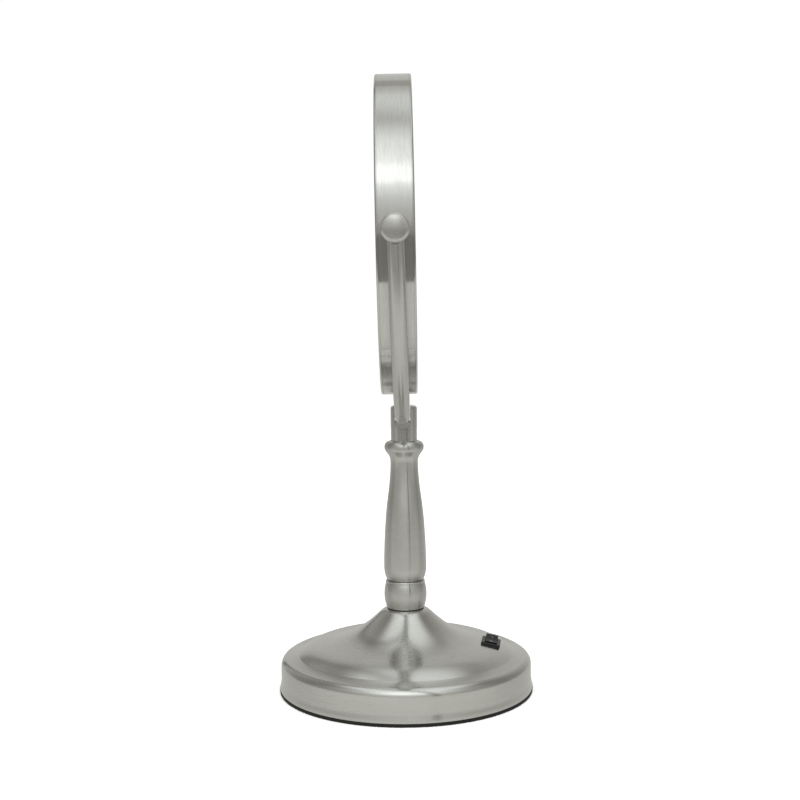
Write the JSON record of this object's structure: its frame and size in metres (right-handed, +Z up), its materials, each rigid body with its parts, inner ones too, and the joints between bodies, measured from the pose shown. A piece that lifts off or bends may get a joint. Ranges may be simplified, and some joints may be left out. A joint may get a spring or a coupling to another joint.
{
  "type": "lighted vanity mirror",
  "caption": "Round two-sided lighted mirror that tilts in a yoke on a turned pedestal with a domed base and a rocker switch.",
  "frame": {"origin": "centre of the base's underside, on the table", "axes": "+Z up; +X towards the flat mirror's side and the switch; the head tilts about +Y"},
  "size_m": [0.159, 0.2428, 0.3811],
  "materials": {
    "spun_nickel": "satin nickel, circular brushing",
    "turned_nickel": "satin nickel, turned and brushed",
    "yoke_nickel": "satin nickel, brushed along the bend",
    "band_nickel": "satin nickel, brushed round the band",
    "rim_nickel": "satin nickel, fine circular brushing",
    "knob_nickel": "satin nickel, turned face",
    "foot_rubber": "matt",
    "switch_plastic": "fine satin",
    "base_plastic": "moulded texture",
    "tray_plastic": "moulded texture",
    "carrier_plastic": "white moulding",
    "iron": "painted casting",
    "zinc_steel": "bright zinc",
    "contact_nickel": "nickel plated strip",
    "tin_brass": "tinned",
    "cell_jacket": "printed foil jacket",
    "mirror_glass": "polished silvered glass",
    "frosted_acrylic": "frosted",
    "board_white": "solder mask",
    "board_green": "solder mask",
    "lamp_white": "phosphor and lens",
    "component_black": "moulded",
    "foam": "closed cell foam",
    "nylon": "natural nylon",
    "lead_jacket": "satin"
  },
  "bodies": {
    "stand": {"foot_ring": "foot_rubber", "base_cover": "spun_nickel", "base_plate": "base_plastic", "base_weight": "iron", "base_screws": "zinc_steel", "battery_tray": "tray_plastic", "battery_1": "cell_jacket", "battery_2": "cell_jacket", "battery_3": "cell_jacket", "battery_4": "cell_jacket", "battery_contacts": "contact_nickel", "battery_springs": "contact_nickel", "driver_board": "board_green", "driver_parts": "component_black", "switch_housing": "switch_plastic", "switch_terminals": "tin_brass", "neck_gasket": "foam", "column_ball": "turned_nickel", "column_body": "turned_nickel", "yoke_socket": "turned_nickel", "tie_rod": "zinc_steel", "tie_washer": "zinc_steel", "tie_nut": "zinc_steel", "yoke": "yoke_nickel", "yoke_saddle": "zinc_steel", "pivot_studs": "zinc_steel", "friction_washers": "nylon", "pivot_spacers": "turned_nickel", "knob_near": "knob_nickel", "knob_far": "knob_nickel", "column_lead": "lead_jacket", "yoke_lead": "lead_jacket"},
    "head": {"head_band": "band_nickel", "rim_flat": "rim_nickel", "rim_magnifying": "rim_nickel", "halo_flat": "frosted_acrylic", "halo_magnifying": "frosted_acrylic", "mirror_flat": "mirror_glass", "mirror_magnifying": "mirror_glass", "light_carrier": "carrier_plastic", "mirror_pads": "foam", "lamp_board_flat": "board_white", "lamp_board_magnifying": "board_white", "lamps_flat": "lamp_white", "lamps_magnifying": "lamp_white", "pivot_bushes": "nylon", "head_lead": "lead_jacket", "lead_connector": "carrier_plastic"},
    "rocker": {"switch_rocker": "switch_plastic"},
    "door": {"battery_door": "base_plastic"}
  },
  "joints": [
    {"name": "head_tilt", "type": "hinge", "parent": "stand", "child": "head", "pos_m": [-0.00361, 0, 0.28366], "axis": [0, 1, 0], "range_deg": [-180, 180]},
    {"name": "switch_press", "type": "hinge", "parent": "stand", "child": "rocker", "pos_m": [0.05317, -0.00596, 0.0298], "axis": [0.9721, -0.109, -0.2079], "range_deg": [-20, 0]},
    {"name": "door_slide", "type": "slide", "parent": "stand", "child": "door", "axis": [-1, 0, 0], "range_m": [0, 0.006]}
  ]
}
